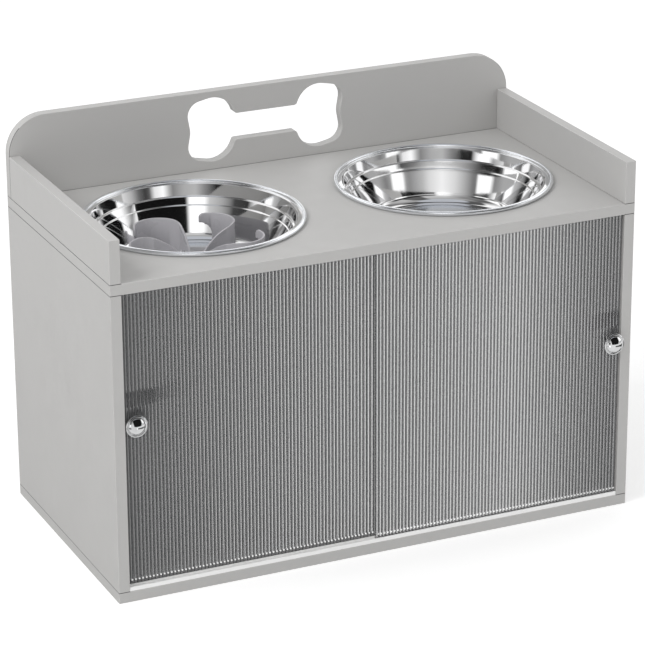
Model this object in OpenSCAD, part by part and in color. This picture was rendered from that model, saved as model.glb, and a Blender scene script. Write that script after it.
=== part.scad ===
// Elevated feeding station for a dog: a board cabinet with two lift-out steel bowls in its deck,
// low side rails, a backboard with a bone-shaped cut-out, and two reeded doors that slide in a
// double track. X runs to the right, Y to the back and Z up. The origin is the centre of the
// cabinet's underside.

/* [Cabinet] */
// Width over the two side panels
cabinet_w = 600; // [560:5:660]
// Depth from the front edges to the back edges
cabinet_d = 310; // [300:5:360]
// Height of the deck's upper face above the floor
deck_h = 352; // [330:1:400]
// Thickness of the structural boards
panel_t = 12; // [12:0.5:16]
// Thickness of the thin back board
back_t = 3; // [2.5:0.1:4]
// Distance of the back board from the rear edges
back_inset = 12; // [10:1:20]
// Depth of the grooves that hold the back board
back_groove = 5; // [4:0.5:6]

/* [Rails and backboard] */
// Height of the side rails above the deck
rail_h = 47; // [35:1:60]
// Height of the backboard above the deck
backboard_h = 90; // [86:1:120]
// Radius of the backboard's upper corners
backboard_corner_r = 42; // [20:1:60]

/* [Bone cut-out] */
// Overall length of the bone
bone_l = 186; // [170:1:200]
// Overall height of the bone
bone_h = 73; // [70:0.5:76]
// Height of the bone's shaft
shaft_h = 30; // [24:0.5:34]
// Height of the bone's middle above the deck
bone_mid = 46; // [45:0.5:48]
// Radius of each lobe beside the shaft
lobe_r = 27.3; // [26:0.1:28]
// Radius of each lobe's outer knuckle
knuckle_r = 16.5; // [15:0.1:18]
// Fillet where the shaft meets a lobe
neck_r = 4; // [2:0.5:6]
// Fillet in the hollow between the two lobes of an end
end_r = 25; // [10:1:40]

/* [Bowls] */
// Outer radius of the rolled rim
rim_r = 120; // [118:0.5:122]
// Radius of the rolled bead
bead_r = 2.4; // [2:0.1:3]
// Radius of the mouth, inside the flat flange
mouth_r = 111; // [109:0.5:112]
// Distance between the two bowl centres
bowl_spacing = 295; // [280:1:310]
// Distance of the bowl centres behind the front edge
bowl_setback = 153; // [148:1:158]
// Thickness of the sheet steel
sheet_t = 0.8; // [0.6:0.1:1.2]
// Depth of the bowl floor below the deck
bowl_depth = 54.5; // [50:0.5:70]
// Radius between wall and floor
bowl_corner_r = 14; // [8:1:18]
// Radius of the flat floor
bowl_floor_r = 78; // [70:1:82]

/* [Slow feeder insert] */
// Radius of the insert's base disc
base_r = 58; // [54:1:62]
// Thickness of the base disc
base_t = 2; // [1.5:0.1:3]
// Number of blades
blade_count = 5; // [4:1:5]
// Thickness of the blades
blade_t = 2.2; // [1.8:0.1:2.6]
// Height of the blades above the base disc
blade_h = 34.5; // [30:0.5:38]
// Length of a blade's straight run, from the hub's centre
blade_run = 42; // [38:1:44]
// Radius of a blade's curl
curl_r = 25.5; // [22:0.5:26]
// Sweep of the curl in degrees
curl_sweep = 172; // [140:1:180]

/* [Doors] */
// Overlap of the two closed doors in the middle
door_overlap = 9; // [6:0.5:20]
// Thickness of a door over its reeds
door_t = 3.6; // [3.4:0.1:4]
// Height of one reed above the plain sheet
reed_h = 1; // [0.6:0.1:1.2]
// Distance from reed to reed
reed_pitch = 4; // [4:0.5:6]
// Free gap between a closed door and its side panel
door_gap = 0.5; // [0.4:0.1:1.5]

/* [Track] */
// Width of each channel
channel_w = 4.6; // [4.5:0.1:6]
// Thickness of the track's outer lips
lip_t = 1.5; // [1.2:0.1:2]
// Thickness of the divider between the channels
divider_t = 2; // [2:0.1:3]
// Height of the track above the bottom panel
track_h = 4.5; // [4:0.1:5.5]
// Thickness of the track's floor
track_floor = 1.2; // [1:0.1:1.5]
// Distance of the track behind the front edge
track_setback = 0.5; // [0.5:0.1:3]
// Depth of the door grooves under the deck
top_groove = 7.5; // [7:0.1:8]

/* [Knobs] */
// Radius of the knob's neck
neck_rod_r = 5; // [4.5:0.1:6]
// Length of the knob's neck
neck_rod_l = 9; // [8:0.5:12]
// Radius of the knob's head
head_r = 12; // [11:0.1:12.5]
// Thickness of the head's rim
head_t = 2.2; // [1.8:0.1:3]
// Radius of the dome on the head
dome_r = 9.4; // [8:0.1:10]
// Height of the dome above the rim
dome_h = 5; // [3:0.1:6]
// Height of the knobs above the floor
knob_z = 196; // [150:1:220]
// Distance of a knob from the outer edge of its door
knob_inset = 12; // [12:0.5:30]

/* [Fasteners] */
// Radius of the wooden dowels
dowel_r = 3; // [2.5:0.1:4]
// Length of the wooden dowels
dowel_l = 24; // [20:1:30]
// Radius of the panel screws
screw_r = 1.75; // [1.5:0.05:2]
// Length of the base screws
base_screw_l = 40; // [30:1:50]
// Length of the rail and backboard screws
deck_screw_l = 30; // [25:1:35]
// Radius of the cam locks
cam_r = 6; // [5.5:0.1:7]
// Depth of the cam locks
cam_depth = 9; // [8:0.1:10]
// Distance from the deck's underside to the middle of a cam lock
cam_drop = 24; // [22:1:34]

/* [Hidden] */
$fn = 96;

// Overlap of a cutting shape past the face that it cuts
cut = 1;
// Small overlap of curves that meet in a tangent
blend = 0.02;

// Inner space of the cabinet
front_y = -cabinet_d / 2;
rear_y = cabinet_d / 2;
inner_x = cabinet_w / 2 - panel_t;
side_mid_x = cabinet_w / 2 - panel_t / 2;
deck_under = deck_h - panel_t;
side_h = deck_under - panel_t;

// Back board and its grooves
back_y = rear_y - back_inset - back_t;
back_fit = 0.15;
back_end_fit = 0.3;

// Rails and backboard
board_front_y = rear_y - panel_t;
board_mid_y = rear_y - panel_t / 2;
rail_l = board_front_y - front_y;

// Bone: centres of a lobe and of its knuckle, in the quarter to the upper right
knuckle_dx = 12.5;
knuckle_dz = 8.5;
lobe_c = [bone_l / 2 - knuckle_r - knuckle_dx, bone_h / 2 - lobe_r];
knuckle_c = lobe_c + [knuckle_dx, knuckle_dz];

// Bowl profile, as radius and height above the deck
bowl_x = bowl_spacing / 2;
bowl_y = front_y + bowl_setback;
rim_lift = 0.2;
bead_z = bead_r + rim_lift;
flange_z = 2.3;
collar_taper = 3.4;
collar_r = mouth_r - collar_taper;
collar_z = -10.5;
ledge_w = 2.2;
ledge_drop = 0.6;
band_taper = 3;
band_r = collar_r - ledge_w - band_taper;
band_z = -19;
step_w = 1.2;
step_drop = 0.6;
bowl_hole_fit = 0.6;
bowl_hole_r = mouth_r + sheet_t + bowl_hole_fit;

// Slow feeder insert: it stands on the floor of the left bowl
insert_z = deck_h - bowl_depth;
insert_lift = 0.1;
blade_turn = 15;
blade_root_r = 7;
blade_root_h = 3;
blade_crest_r = 60;
blade_wall_gap = 3;
tip_h = 10;
tip_round_r = 5;
undercut_r = 14;
hub_r = 10;
hub_h = 3;

// Door and track places, measured back from the front edge
front_channel_y = front_y + track_setback + lip_t;
rear_channel_y = front_channel_y + channel_w + divider_t;
track_d = 2 * lip_t + 2 * channel_w + divider_t;
track_end_fit = 0.3;
front_door_y = front_channel_y + (channel_w - door_t) / 2;
rear_door_y = rear_channel_y + (channel_w - door_t) / 2;
door_foot_fit = 0.3;
door_foot_z = panel_t + track_floor + door_foot_fit;
lift_out_spare = 0.7;
door_head_z = deck_under + top_groove - (track_h - track_floor) - lift_out_spare;
door_h = door_head_z - door_foot_z;
reed_r = (pow(reed_pitch / 2, 2) + pow(reed_h, 2)) / (2 * reed_h);
door_w = inner_x - door_gap + door_overlap / 2;
left_door_x = -inner_x + door_gap;
right_door_x = inner_x - door_gap - door_w;
knob_x = inner_x - door_gap - knob_inset;

// Knob fixings
knob_screw_r = 1.9;
knob_screw_fit = 0.05;
knob_hole_r = 2.2;
screw_pan_r = 3.5;
screw_pan_top_r = 2.8;
screw_pan_t = 1.5;
knob_thread_l = 6;
knob_thread_spare = 0.5;
washer_r = 4.5;
washer_t = 0.5;

// Distances of the fasteners from the ends of the boards that they join
dowel_from_end = 35;
cam_from_end = 70;
base_screw_from_end = 55;
rail_screw_from_front = 16;
rail_screw_from_rear = 52;
board_dowel_from_end = 105;
track_screw_from_end = 40;
board_screw_shares = [-0.42, -0.22, 0.22, 0.42];

// Places of the fasteners, and their fits
dowel_y = cabinet_d / 2 - dowel_from_end;
cam_y = cabinet_d / 2 - cam_from_end;
base_screw_ys = [front_y + base_screw_from_end, 0, rear_y - base_screw_from_end];
rail_screw_ys = [front_y + rail_screw_from_front, 0, rear_y - rail_screw_from_rear];
board_screw_xs = [for (share = board_screw_shares) share * cabinet_w];
board_dowel_x = cabinet_w / 2 - board_dowel_from_end;
track_screw_xs = [track_screw_from_end - inner_x, 0, inner_x - track_screw_from_end];
dowel_fit = 0.05;
dowel_sunk = 8;
dowel_end_fit = 0.3;
screw_fit = 0.05;
screw_head_r = 2 * screw_r;
screw_tip_share = 0.2;
track_screw_r = 1;
track_screw_head_r = 2;
track_screw_l = 9;
cam_fit = 0.1;
cam_slot_fit = 0.3;
cam_bolt_r = 1.9;
cam_bolt_thread_r = 2.4;
cam_bolt_thread_l = 8;
cam_bolt_head_r = 2.9;
cam_bolt_head_t = 3;
cam_channel_r = 3.2;

function on_circle(c, r, a) = c + r * [cos(a), sin(a)];
function arc(c, r, from, to, steps) =
    [for (i = [0:steps]) on_circle(c, r, from + (to - from) * i / steps)];

// Two circles of unlike size with their common tangents filled in
module tapered_pill(c1, r1, c2, r2) {
    run = c2 - c1;
    along = atan2(run.y, run.x);
    lean = acos((r1 - r2) / norm(run));
    translate(c1) circle(r = r1);
    translate(c2) circle(r = r2);
    polygon([
        on_circle(c1, r1 - blend, along + lean), on_circle(c1, r1 - blend, along - lean),
        on_circle(c2, r2 - blend, along - lean), on_circle(c2, r2 - blend, along + lean)
    ]);
}

// The upper right quarter of the bone: lobe, knuckle and the fillet at the shaft
module bone_quarter() {
    rise = shaft_h / 2 + neck_r - lobe_c.y;
    fillet_c = [lobe_c.x - sqrt(pow(lobe_r + neck_r, 2) - pow(rise, 2)), shaft_h / 2 + neck_r];
    tapered_pill(lobe_c, lobe_r, knuckle_c, knuckle_r);
    difference() {
        polygon([fillet_c, [fillet_c.x, 0], lobe_c]);
        translate(fillet_c) circle(r = neck_r + blend);
    }
}

// The fillet in the hollow between the two lobes of the right end
module bone_end() {
    fillet_c = [lobe_c.x + sqrt(pow(lobe_r + end_r, 2) - pow(lobe_c.y, 2)), 0];
    difference() {
        polygon([fillet_c, lobe_c, [lobe_c.x, -lobe_c.y]]);
        translate(fillet_c) circle(r = end_r + blend);
    }
}

module bone_outline() {
    square([2 * lobe_c.x, shaft_h], center = true);
    for (side = [0, 1]) mirror([side, 0]) {
        bone_end();
        bone_quarter();
        mirror([0, 1]) bone_quarter();
    }
}

// A plate in the XZ plane with its lower edge on Z = 0 and rounded upper corners
module round_topped_outline(w, h, r) {
    translate([-w / 2, 0]) square([w, h - r]);
    translate([-w / 2 + r, 0]) square([w - 2 * r, h]);
    for (x = [-w / 2 + r, w / 2 - r]) translate([x, h - r]) circle(r = r);
}

// A countersunk screw with its head's flat face on Z = 0 and its shank along +Z
module countersunk_screw(r, head_r, l) {
    cylinder(r1 = head_r, r2 = r, h = head_r - r);
    cylinder(r = r, h = l - r);
    translate([0, 0, l - r]) cylinder(r1 = r, r2 = screw_tip_share * r, h = r);
}

// The hole for that screw: a countersink, then a snug bore
module countersunk_hole(r, head_r, l) {
    translate([0, 0, -cut]) cylinder(r = head_r + screw_fit, h = cut);
    cylinder(r1 = head_r + screw_fit, r2 = r + screw_fit, h = head_r - r);
    cylinder(r = r + screw_fit, h = l + screw_fit);
}

module base_screw_places() {
    for (x = [-side_mid_x, side_mid_x], y = base_screw_ys) translate([x, y, 0]) children();
}

module rail_screw_places() {
    for (x = [-side_mid_x, side_mid_x], y = rail_screw_ys) translate([x, y, deck_under]) children();
}

module backboard_screw_places() {
    for (x = board_screw_xs) translate([x, board_mid_y, deck_under]) children();
}

module track_screw_places() {
    for (x = track_screw_xs, y = [front_channel_y, rear_channel_y])
        translate([x, y + channel_w / 2, panel_t + track_floor]) mirror([0, 0, 1]) children();
}

// Each place has the dowel's sunk end downwards, at the bottom of its panel hole
module dowel_places() {
    for (x = [-side_mid_x, side_mid_x], y = [-dowel_y, dowel_y]) {
        translate([x, y, panel_t - dowel_sunk]) children();
        translate([x, y, deck_under + dowel_sunk]) mirror([0, 0, 1]) children();
    }
    for (x = [-board_dowel_x, board_dowel_x]) translate([x, board_mid_y, deck_h - dowel_sunk]) children();
}

module dowel_hole() {
    cylinder(r = dowel_r + dowel_fit, h = dowel_l + dowel_end_fit);
}

module cam_places() {
    for (side = [0, 1], y = [-cam_y, cam_y])
        mirror([side, 0, 0]) translate([inner_x, y, deck_under - cam_drop]) children();
}

// The pocket for a cam lock, and the channel that its bolt comes down
module cam_pocket() {
    translate([-cut, 0, 0]) rotate([0, 90, 0]) cylinder(r = cam_r + cam_fit, h = cam_depth + cam_fit + cut);
    translate([panel_t / 2, 0, 0]) cylinder(r = cam_channel_r, h = cam_drop + cut);
}

module bottom_panel() {
    color([0.7, 0.7, 0.69]) difference() {
        translate([-cabinet_w / 2, front_y, 0]) cube([cabinet_w, cabinet_d, panel_t]);
        translate([-inner_x - back_groove, back_y - back_fit, panel_t - back_groove])
            cube([2 * (inner_x + back_groove), back_t + 2 * back_fit, back_groove + cut]);
        base_screw_places() countersunk_hole(screw_r, screw_head_r, base_screw_l);
        dowel_places() dowel_hole();
        track_screw_places() countersunk_hole(track_screw_r, track_screw_head_r, track_screw_l);
    }
}

// The right-hand side panel; the left one is its mirror image
module side_panel() {
    difference() {
        translate([inner_x, front_y, panel_t]) cube([panel_t, cabinet_d, side_h]);
        translate([inner_x - cut, back_y - back_fit, panel_t - cut])
            cube([back_groove + cut, back_t + 2 * back_fit, side_h + 2 * cut]);
        base_screw_places() countersunk_hole(screw_r, screw_head_r, base_screw_l);
        dowel_places() dowel_hole();
        cam_places() cam_pocket();
    }
}

module left_side_panel() {
    color([0.74, 0.74, 0.73]) mirror([1, 0, 0]) side_panel();
}

module right_side_panel() {
    color([0.74, 0.74, 0.73]) side_panel();
}

module back_panel() {
    w = 2 * (inner_x + back_groove - back_end_fit);
    h = side_h + 2 * back_groove - back_end_fit;
    color([0.66, 0.66, 0.65]) translate([-w / 2, back_y, panel_t - back_groove]) cube([w, back_t, h]);
}

module top_panel() {
    color([0.74, 0.74, 0.73]) difference() {
        translate([-cabinet_w / 2, front_y, deck_under]) cube([cabinet_w, cabinet_d, panel_t]);
        for (x = [-bowl_x, bowl_x])
            translate([x, bowl_y, deck_under - cut]) cylinder(r = bowl_hole_r, h = panel_t + 2 * cut);
        for (y = [front_channel_y, rear_channel_y])
            translate([-inner_x, y, deck_under - cut]) cube([2 * inner_x, channel_w, top_groove + cut]);
        translate([-inner_x - back_groove, back_y - back_fit, deck_under - cut])
            cube([2 * (inner_x + back_groove), back_t + 2 * back_fit, back_groove + cut]);
        dowel_places() dowel_hole();
        rail_screw_places() countersunk_hole(screw_r, screw_head_r, deck_screw_l);
        backboard_screw_places() countersunk_hole(screw_r, screw_head_r, deck_screw_l);
        cam_places() translate([panel_t / 2, 0, cam_drop - cut])
            cylinder(r = cam_bolt_thread_r + screw_fit, h = cam_bolt_thread_l + screw_fit + cut);
    }
}

module backboard() {
    color([0.64, 0.64, 0.63]) difference() {
        translate([0, rear_y, deck_h]) rotate([90, 0, 0]) linear_extrude(panel_t) difference() {
            round_topped_outline(cabinet_w, backboard_h, backboard_corner_r);
            translate([0, bone_mid]) bone_outline();
        }
        backboard_screw_places() countersunk_hole(screw_r, screw_head_r, deck_screw_l);
        dowel_places() dowel_hole();
    }
}

module rail(side) {
    color([0.72, 0.72, 0.71]) difference() {
        translate([side * side_mid_x - panel_t / 2, front_y, deck_h]) cube([panel_t, rail_l, rail_h]);
        rail_screw_places() countersunk_hole(screw_r, screw_head_r, deck_screw_l);
    }
}

module left_rail() {
    rail(-1);
}

module right_rail() {
    rail(1);
}

// Double channel: a floor with a front lip, a divider and a rear lip
module bottom_track() {
    l = 2 * (inner_x - track_end_fit);
    color([0.97, 0.97, 0.97]) difference() {
        translate([-l / 2, front_channel_y - lip_t, panel_t]) cube([l, track_d, track_h]);
        for (y = [front_channel_y, rear_channel_y])
            translate([-l / 2 - cut, y, panel_t + track_floor]) cube([l + 2 * cut, channel_w, track_h]);
        track_screw_places() countersunk_hole(track_screw_r, track_screw_head_r, track_screw_l);
    }
}

module wood_dowels() {
    chamfer = 0.8;
    color([0.82, 0.68, 0.48]) dowel_places() {
        cylinder(r1 = dowel_r - chamfer, r2 = dowel_r, h = chamfer);
        translate([0, 0, chamfer]) cylinder(r = dowel_r, h = dowel_l - 2 * chamfer);
        translate([0, 0, dowel_l - chamfer]) cylinder(r1 = dowel_r, r2 = dowel_r - chamfer, h = chamfer);
    }
}

// A bolt with a threaded end in the deck, a plain shank and a head in the cam lock
module cam_bolts() {
    shank_l = cam_drop + cam_bolt_thread_l - cam_bolt_head_t / 2;
    color([0.75, 0.75, 0.72]) cam_places() translate([panel_t / 2, 0, 0]) {
        translate([0, 0, -cam_bolt_head_t / 2]) cylinder(r = cam_bolt_head_r, h = cam_bolt_head_t);
        cylinder(r = cam_bolt_r, h = shank_l);
        translate([0, 0, cam_drop]) cylinder(r = cam_bolt_thread_r, h = cam_bolt_thread_l);
    }
}

// A round cam with a slot that holds the bolt's head and a cross slot for the driver
module cam_locks() {
    slot_w = 2 * (cam_bolt_head_r + cam_slot_fit);
    neck_w = 2 * (cam_bolt_r + cam_slot_fit);
    driver = [1.2, 7, 1.2];
    color([0.8, 0.8, 0.78]) cam_places() difference() {
        rotate([0, 90, 0]) cylinder(r = cam_r, h = cam_depth);
        translate([panel_t / 2 - slot_w / 2, -slot_w / 2, -slot_w / 2]) cube([slot_w, slot_w, slot_w]);
        translate([panel_t / 2 - neck_w / 2, -neck_w / 2, 0]) cube([neck_w, neck_w, cam_r + cut]);
        for (turn = [45, 135]) rotate([turn, 0, 0]) translate([-driver.x, -driver.y / 2, -driver.z / 2])
            cube([2 * driver.x, driver.y, driver.z]);
    }
}

module base_screws() {
    color([0.55, 0.55, 0.55]) base_screw_places() countersunk_screw(screw_r, screw_head_r, base_screw_l);
}

module rail_screws() {
    color([0.55, 0.55, 0.55]) rail_screw_places() countersunk_screw(screw_r, screw_head_r, deck_screw_l);
}

module backboard_screws() {
    color([0.55, 0.55, 0.55]) backboard_screw_places()
        countersunk_screw(screw_r, screw_head_r, deck_screw_l);
}

module track_screws() {
    color([0.6, 0.6, 0.6]) track_screw_places()
        countersunk_screw(track_screw_r, track_screw_head_r, track_screw_l);
}

// Outline of a reeded sheet seen from above: a flat back and a row of round reeds at the front
module reeded_outline(w) {
    reeds = floor(w / reed_pitch);
    margin = (w - reeds * reed_pitch) / 2;
    translate([0, reed_h]) square([w, door_t - reed_h]);
    intersection() {
        square([w, door_t]);
        for (i = [0:reeds - 1]) translate([margin + (i + 0.5) * reed_pitch, reed_r])
            circle(r = reed_r, $fn = 64);
    }
}

module door(knob_at) {
    difference() {
        linear_extrude(door_h) reeded_outline(door_w);
        translate([knob_at, -cut, knob_z - door_foot_z]) rotate([-90, 0, 0])
            cylinder(r = knob_hole_r, h = door_t + 2 * cut);
    }
}

module left_door() {
    color([0.55, 0.57, 0.58, 0.6]) translate([left_door_x, rear_door_y, door_foot_z])
        door(knob_inset);
}

module right_door() {
    color([0.55, 0.57, 0.58, 0.6]) translate([right_door_x, front_door_y, door_foot_z])
        door(door_w - knob_inset);
}

// Half section of a knob: a neck, a head with a rounded rim and a shallow dome
module knob_outline() {
    dome_sphere_r = (pow(dome_r, 2) + pow(dome_h, 2)) / (2 * dome_h);
    rim_round_r = head_t / 2;
    square([neck_rod_r, neck_rod_l + head_t]);
    translate([0, neck_rod_l]) square([head_r - rim_round_r, head_t]);
    translate([head_r - rim_round_r, neck_rod_l + rim_round_r]) circle(r = rim_round_r);
    translate([0, neck_rod_l + head_t]) intersection() {
        translate([0, dome_h - dome_sphere_r]) circle(r = dome_sphere_r);
        square([dome_r, dome_h]);
    }
}

// A knob whose foot rests on the plane Y = 0 and whose dome points to -Y
module knob() {
    rotate([90, 0, 0]) difference() {
        rotate_extrude() knob_outline();
        translate([0, 0, -cut])
            cylinder(r = knob_screw_r + knob_screw_fit, h = knob_thread_l + knob_thread_spare + cut);
    }
}

// A pan-head screw from behind a door, with its head's underside on the washer
module knob_screw() {
    reach = door_t + washer_t + knob_thread_l;
    translate([0, door_t + washer_t, 0]) {
        rotate([-90, 0, 0]) cylinder(r1 = screw_pan_r, r2 = screw_pan_top_r, h = screw_pan_t);
        rotate([90, 0, 0]) cylinder(r = knob_screw_r, h = reach);
    }
}

module knob_washer() {
    translate([0, door_t, 0]) rotate([-90, 0, 0]) difference() {
        cylinder(r = washer_r, h = washer_t);
        translate([0, 0, -cut]) cylinder(r = knob_hole_r, h = washer_t + 2 * cut);
    }
}

module at_left_knob() {
    translate([-knob_x, rear_door_y, knob_z]) children();
}

module at_right_knob() {
    translate([knob_x, front_door_y, knob_z]) children();
}

module left_knob() {
    color([0.9, 0.9, 0.92]) at_left_knob() knob();
}

module left_knob_screw() {
    color([0.6, 0.6, 0.6]) at_left_knob() knob_screw();
}

module left_knob_washer() {
    color([0.9, 0.9, 0.9]) at_left_knob() knob_washer();
}

module right_knob() {
    color([0.9, 0.9, 0.92]) at_right_knob() knob();
}

module right_knob_screw() {
    color([0.6, 0.6, 0.6]) at_right_knob() knob_screw();
}

module right_knob_washer() {
    color([0.9, 0.9, 0.9]) at_right_knob() knob_washer();
}

// Half section of a bowl's sheet at the distance g outside its inner face, from the rim's bead
// over the flange, down the stepped collar and the wall to the axis
function bowl_line(g) =
    let (
        step = [band_r - step_w + g, band_z - step_drop - g],
        corner = [bowl_floor_r, bowl_corner_r - bowl_depth],
        r = bowl_corner_r + g,
        run = step - corner,
        wall_a = atan2(run.y, run.x) - acos(r / norm(run))
    )
    concat(
        [
            [rim_r - bead_r, flange_z - g], [mouth_r + g, flange_z - g],
            [collar_r + g, collar_z - g], [collar_r - ledge_w + g, collar_z - ledge_drop - g],
            [band_r + g, band_z - g], step
        ],
        arc(corner, r, wall_a, -90, 8),
        [[0, -bowl_depth - g]]
    );

function turned_back(line) = [for (i = [len(line) - 1:-1:0]) line[i]];

// A bowl with its rim's lowest line just above Z = 0
module bowl() {
    rotate_extrude($fn = 180) {
        polygon(concat(bowl_line(0), turned_back(bowl_line(sheet_t))));
        translate([rim_r - bead_r, bead_z]) circle(r = bead_r, $fn = 32);
    }
}

module left_bowl() {
    color([0.86, 0.87, 0.88]) translate([-bowl_x, bowl_y, deck_h]) bowl();
}

module right_bowl() {
    color([0.86, 0.87, 0.88]) translate([bowl_x, bowl_y, deck_h]) bowl();
}

// One blade, standing on Z = 0: a straight wall from the hub that curls to the left and ends in a
// tip with a rounded top, which hangs over an undercut
module blade() {
    reach = curl_r + blade_t;
    translate([blade_root_r, -blade_t / 2, 0]) cube([blade_run - blade_root_r, blade_t, blade_h]);
    translate([blade_run, curl_r, 0]) difference() {
        rotate(-90) rotate_extrude(angle = curl_sweep)
            translate([curl_r - blade_t / 2, 0]) square([blade_t, blade_h]);
        rotate([90, 0, curl_sweep]) linear_extrude(reach) {
            translate([0, blade_h - tip_h - undercut_r]) circle(r = undercut_r);
            translate([blend - undercut_r, -cut])
                square([2 * (undercut_r - blend), blade_h - tip_h - undercut_r + cut]);
            translate([-tip_round_r, blade_h - tip_round_r]) difference() {
                square(tip_round_r + cut);
                circle(r = tip_round_r + blend);
            }
        }
    }
}

// Half section of the space that the blades may fill: it rises in an arc from the hub to the
// crest, and its outer side keeps clear of the bowl's corner and wall
module blade_space() {
    rise = blade_h - blade_root_h;
    crest_run = blade_crest_r - blade_root_r;
    arc_r = (pow(crest_run, 2) + pow(rise, 2)) / (2 * rise);
    wall_r = bowl_floor_r - blade_wall_gap;
    difference() {
        polygon([
            [0, 0], [wall_r, 0], [wall_r + bowl_corner_r, bowl_corner_r],
            [wall_r + bowl_corner_r, blade_h], [0, blade_h]
        ]);
        difference() {
            square([blade_crest_r, blade_h + cut]);
            translate([blade_crest_r, blade_h - arc_r + blend]) circle(r = arc_r);
        }
    }
}

module slow_feeder_insert() {
    color([0.6, 0.6, 0.62]) translate([-bowl_x, bowl_y, insert_z + insert_lift]) {
        cylinder(r = base_r, h = base_t);
        cylinder(r1 = hub_r + hub_h, r2 = hub_r, h = base_t + hub_h);
        translate([0, 0, base_t]) intersection() {
            rotate_extrude() blade_space();
            for (i = [0:blade_count - 1]) rotate(blade_turn + i * 360 / blade_count) blade();
        }
    }
}

bottom_panel();
left_side_panel();
right_side_panel();
back_panel();
top_panel();
backboard();
left_rail();
right_rail();
bottom_track();
wood_dowels();
cam_bolts();
cam_locks();
base_screws();
rail_screws();
backboard_screws();
track_screws();
left_door();
left_knob();
left_knob_screw();
left_knob_washer();
right_door();
right_knob();
right_knob_screw();
right_knob_washer();
left_bowl();
slow_feeder_insert();
right_bowl();
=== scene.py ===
# %% [markdown]
# # An elevated feeding station for dogs
# The object is a low cabinet of grey laminated board. Its top carries two polished
# steel bowls, one of them with a loose slow feeding insert, and a tall back board
# with a hole in the shape of a bone. Two reeded clear doors slide along the front.
# The solid model gives every piece its place, so this lesson begins by loading it.
# After that, each finish and each finer mesh is put where the solid says.

import math

import bmesh
import bpy
from mathutils import Matrix, Vector


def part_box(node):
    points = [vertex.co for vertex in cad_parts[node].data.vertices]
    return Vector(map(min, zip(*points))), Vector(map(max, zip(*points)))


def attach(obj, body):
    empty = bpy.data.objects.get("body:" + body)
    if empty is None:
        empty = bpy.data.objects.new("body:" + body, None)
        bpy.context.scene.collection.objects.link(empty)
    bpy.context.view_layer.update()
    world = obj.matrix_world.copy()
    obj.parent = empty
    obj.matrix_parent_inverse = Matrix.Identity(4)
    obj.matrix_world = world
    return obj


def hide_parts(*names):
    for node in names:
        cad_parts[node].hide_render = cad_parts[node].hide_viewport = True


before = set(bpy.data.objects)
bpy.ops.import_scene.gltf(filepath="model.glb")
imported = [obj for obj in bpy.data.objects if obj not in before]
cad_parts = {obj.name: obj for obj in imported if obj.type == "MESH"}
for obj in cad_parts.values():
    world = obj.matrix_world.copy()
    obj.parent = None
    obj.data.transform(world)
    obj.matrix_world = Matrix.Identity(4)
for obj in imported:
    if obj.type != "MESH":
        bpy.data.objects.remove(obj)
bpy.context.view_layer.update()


scene = bpy.context.scene
MM = 0.001

# %% [markdown]
# ## The camera
# The photograph was taken from the front left, a little above the bowls, with a long
# lens. Known corners of the boards give the place and the turn of the camera, so it
# is written down as numbers. A long lens keeps upright edges nearly parallel.

# %% Camera
CAMERA_PLACE = Vector((-1.3142, -2.9084, 1.4387))
CAMERA_YAW = math.radians(24.36)
CAMERA_PITCH = math.radians(21.06)
CAMERA_ROLL = math.radians(-0.30)
SENSOR_MM = 36.0
FOCAL_PIXELS = 3135.0
FRAME_PIXELS = 645.0
FAR_CLIP = 50.0

camera_data = bpy.data.cameras.new("studio_camera")
camera_data.sensor_width = SENSOR_MM
camera_data.lens = SENSOR_MM * FOCAL_PIXELS / FRAME_PIXELS
camera_data.clip_end = FAR_CLIP
camera = bpy.data.objects.new("studio_camera", camera_data)
scene.collection.objects.link(camera)
scene.camera = camera

ahead = Vector(
    (
        math.sin(CAMERA_YAW) * math.cos(CAMERA_PITCH),
        math.cos(CAMERA_YAW) * math.cos(CAMERA_PITCH),
        -math.sin(CAMERA_PITCH),
    )
)
level_right = Vector((math.cos(CAMERA_YAW), -math.sin(CAMERA_YAW), 0.0))
level_up = level_right.cross(ahead)
right = math.cos(CAMERA_ROLL) * level_right + math.sin(CAMERA_ROLL) * level_up
upward = -math.sin(CAMERA_ROLL) * level_right + math.cos(CAMERA_ROLL) * level_up
turn = Matrix((right, upward, -ahead)).transposed().to_4x4()
camera.matrix_world = Matrix.Translation(CAMERA_PLACE) @ turn
scene.view_settings.view_transform = "Standard"
print("camera lens", round(camera_data.lens, 2), "mm")

# %% [markdown]
# ## The studio
# The object stands in a white room: a white floor, a white world and two large soft
# lamps, a key from the upper left and a weaker one from the front. The world is plain
# white for the camera and for the light on the boards. Polished metal and gloss need
# something to mirror, or they look like flat grey paint. So glossy rays alone see
# rings of white panels with dark gaps round the horizon, as a studio hangs them.
# A picture of a room could do this too, but nodes keep every panel easy to move.

# %% World nodes
def rgba(level):
    """A grey or a colour as four numbers."""
    colour = level if isinstance(level, tuple) else (level, level, level)
    return (*colour, 1.0)


class Nodes:
    """The emptied node tree of a world or a material, with short ways to fill it."""

    def __init__(self, owner):
        owner.use_nodes = True
        self.tree = owner.node_tree
        self.tree.nodes.clear()

    def add(self, kind, **settings):
        """A new node with its settings."""
        node = self.tree.nodes.new(kind)
        for name, value in settings.items():
            setattr(node, name, value)
        return node

    def join(self, output, socket):
        """Leads an output into a socket."""
        self.tree.links.new(output, socket)

    def maths(self, kind, first, second=0.0):
        """One sum on two outputs or numbers."""
        node = self.add("ShaderNodeMath", operation=kind)
        for socket, value in zip(node.inputs, (first, second)):
            if isinstance(value, (int, float)):
                socket.default_value = value
            else:
                self.join(value, socket)
        return node.outputs[0]

    def apart(self, vector):
        """The x, y and z of a vector."""
        node = self.add("ShaderNodeSeparateXYZ")
        self.join(vector, node.inputs[0])
        return node.outputs


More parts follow.
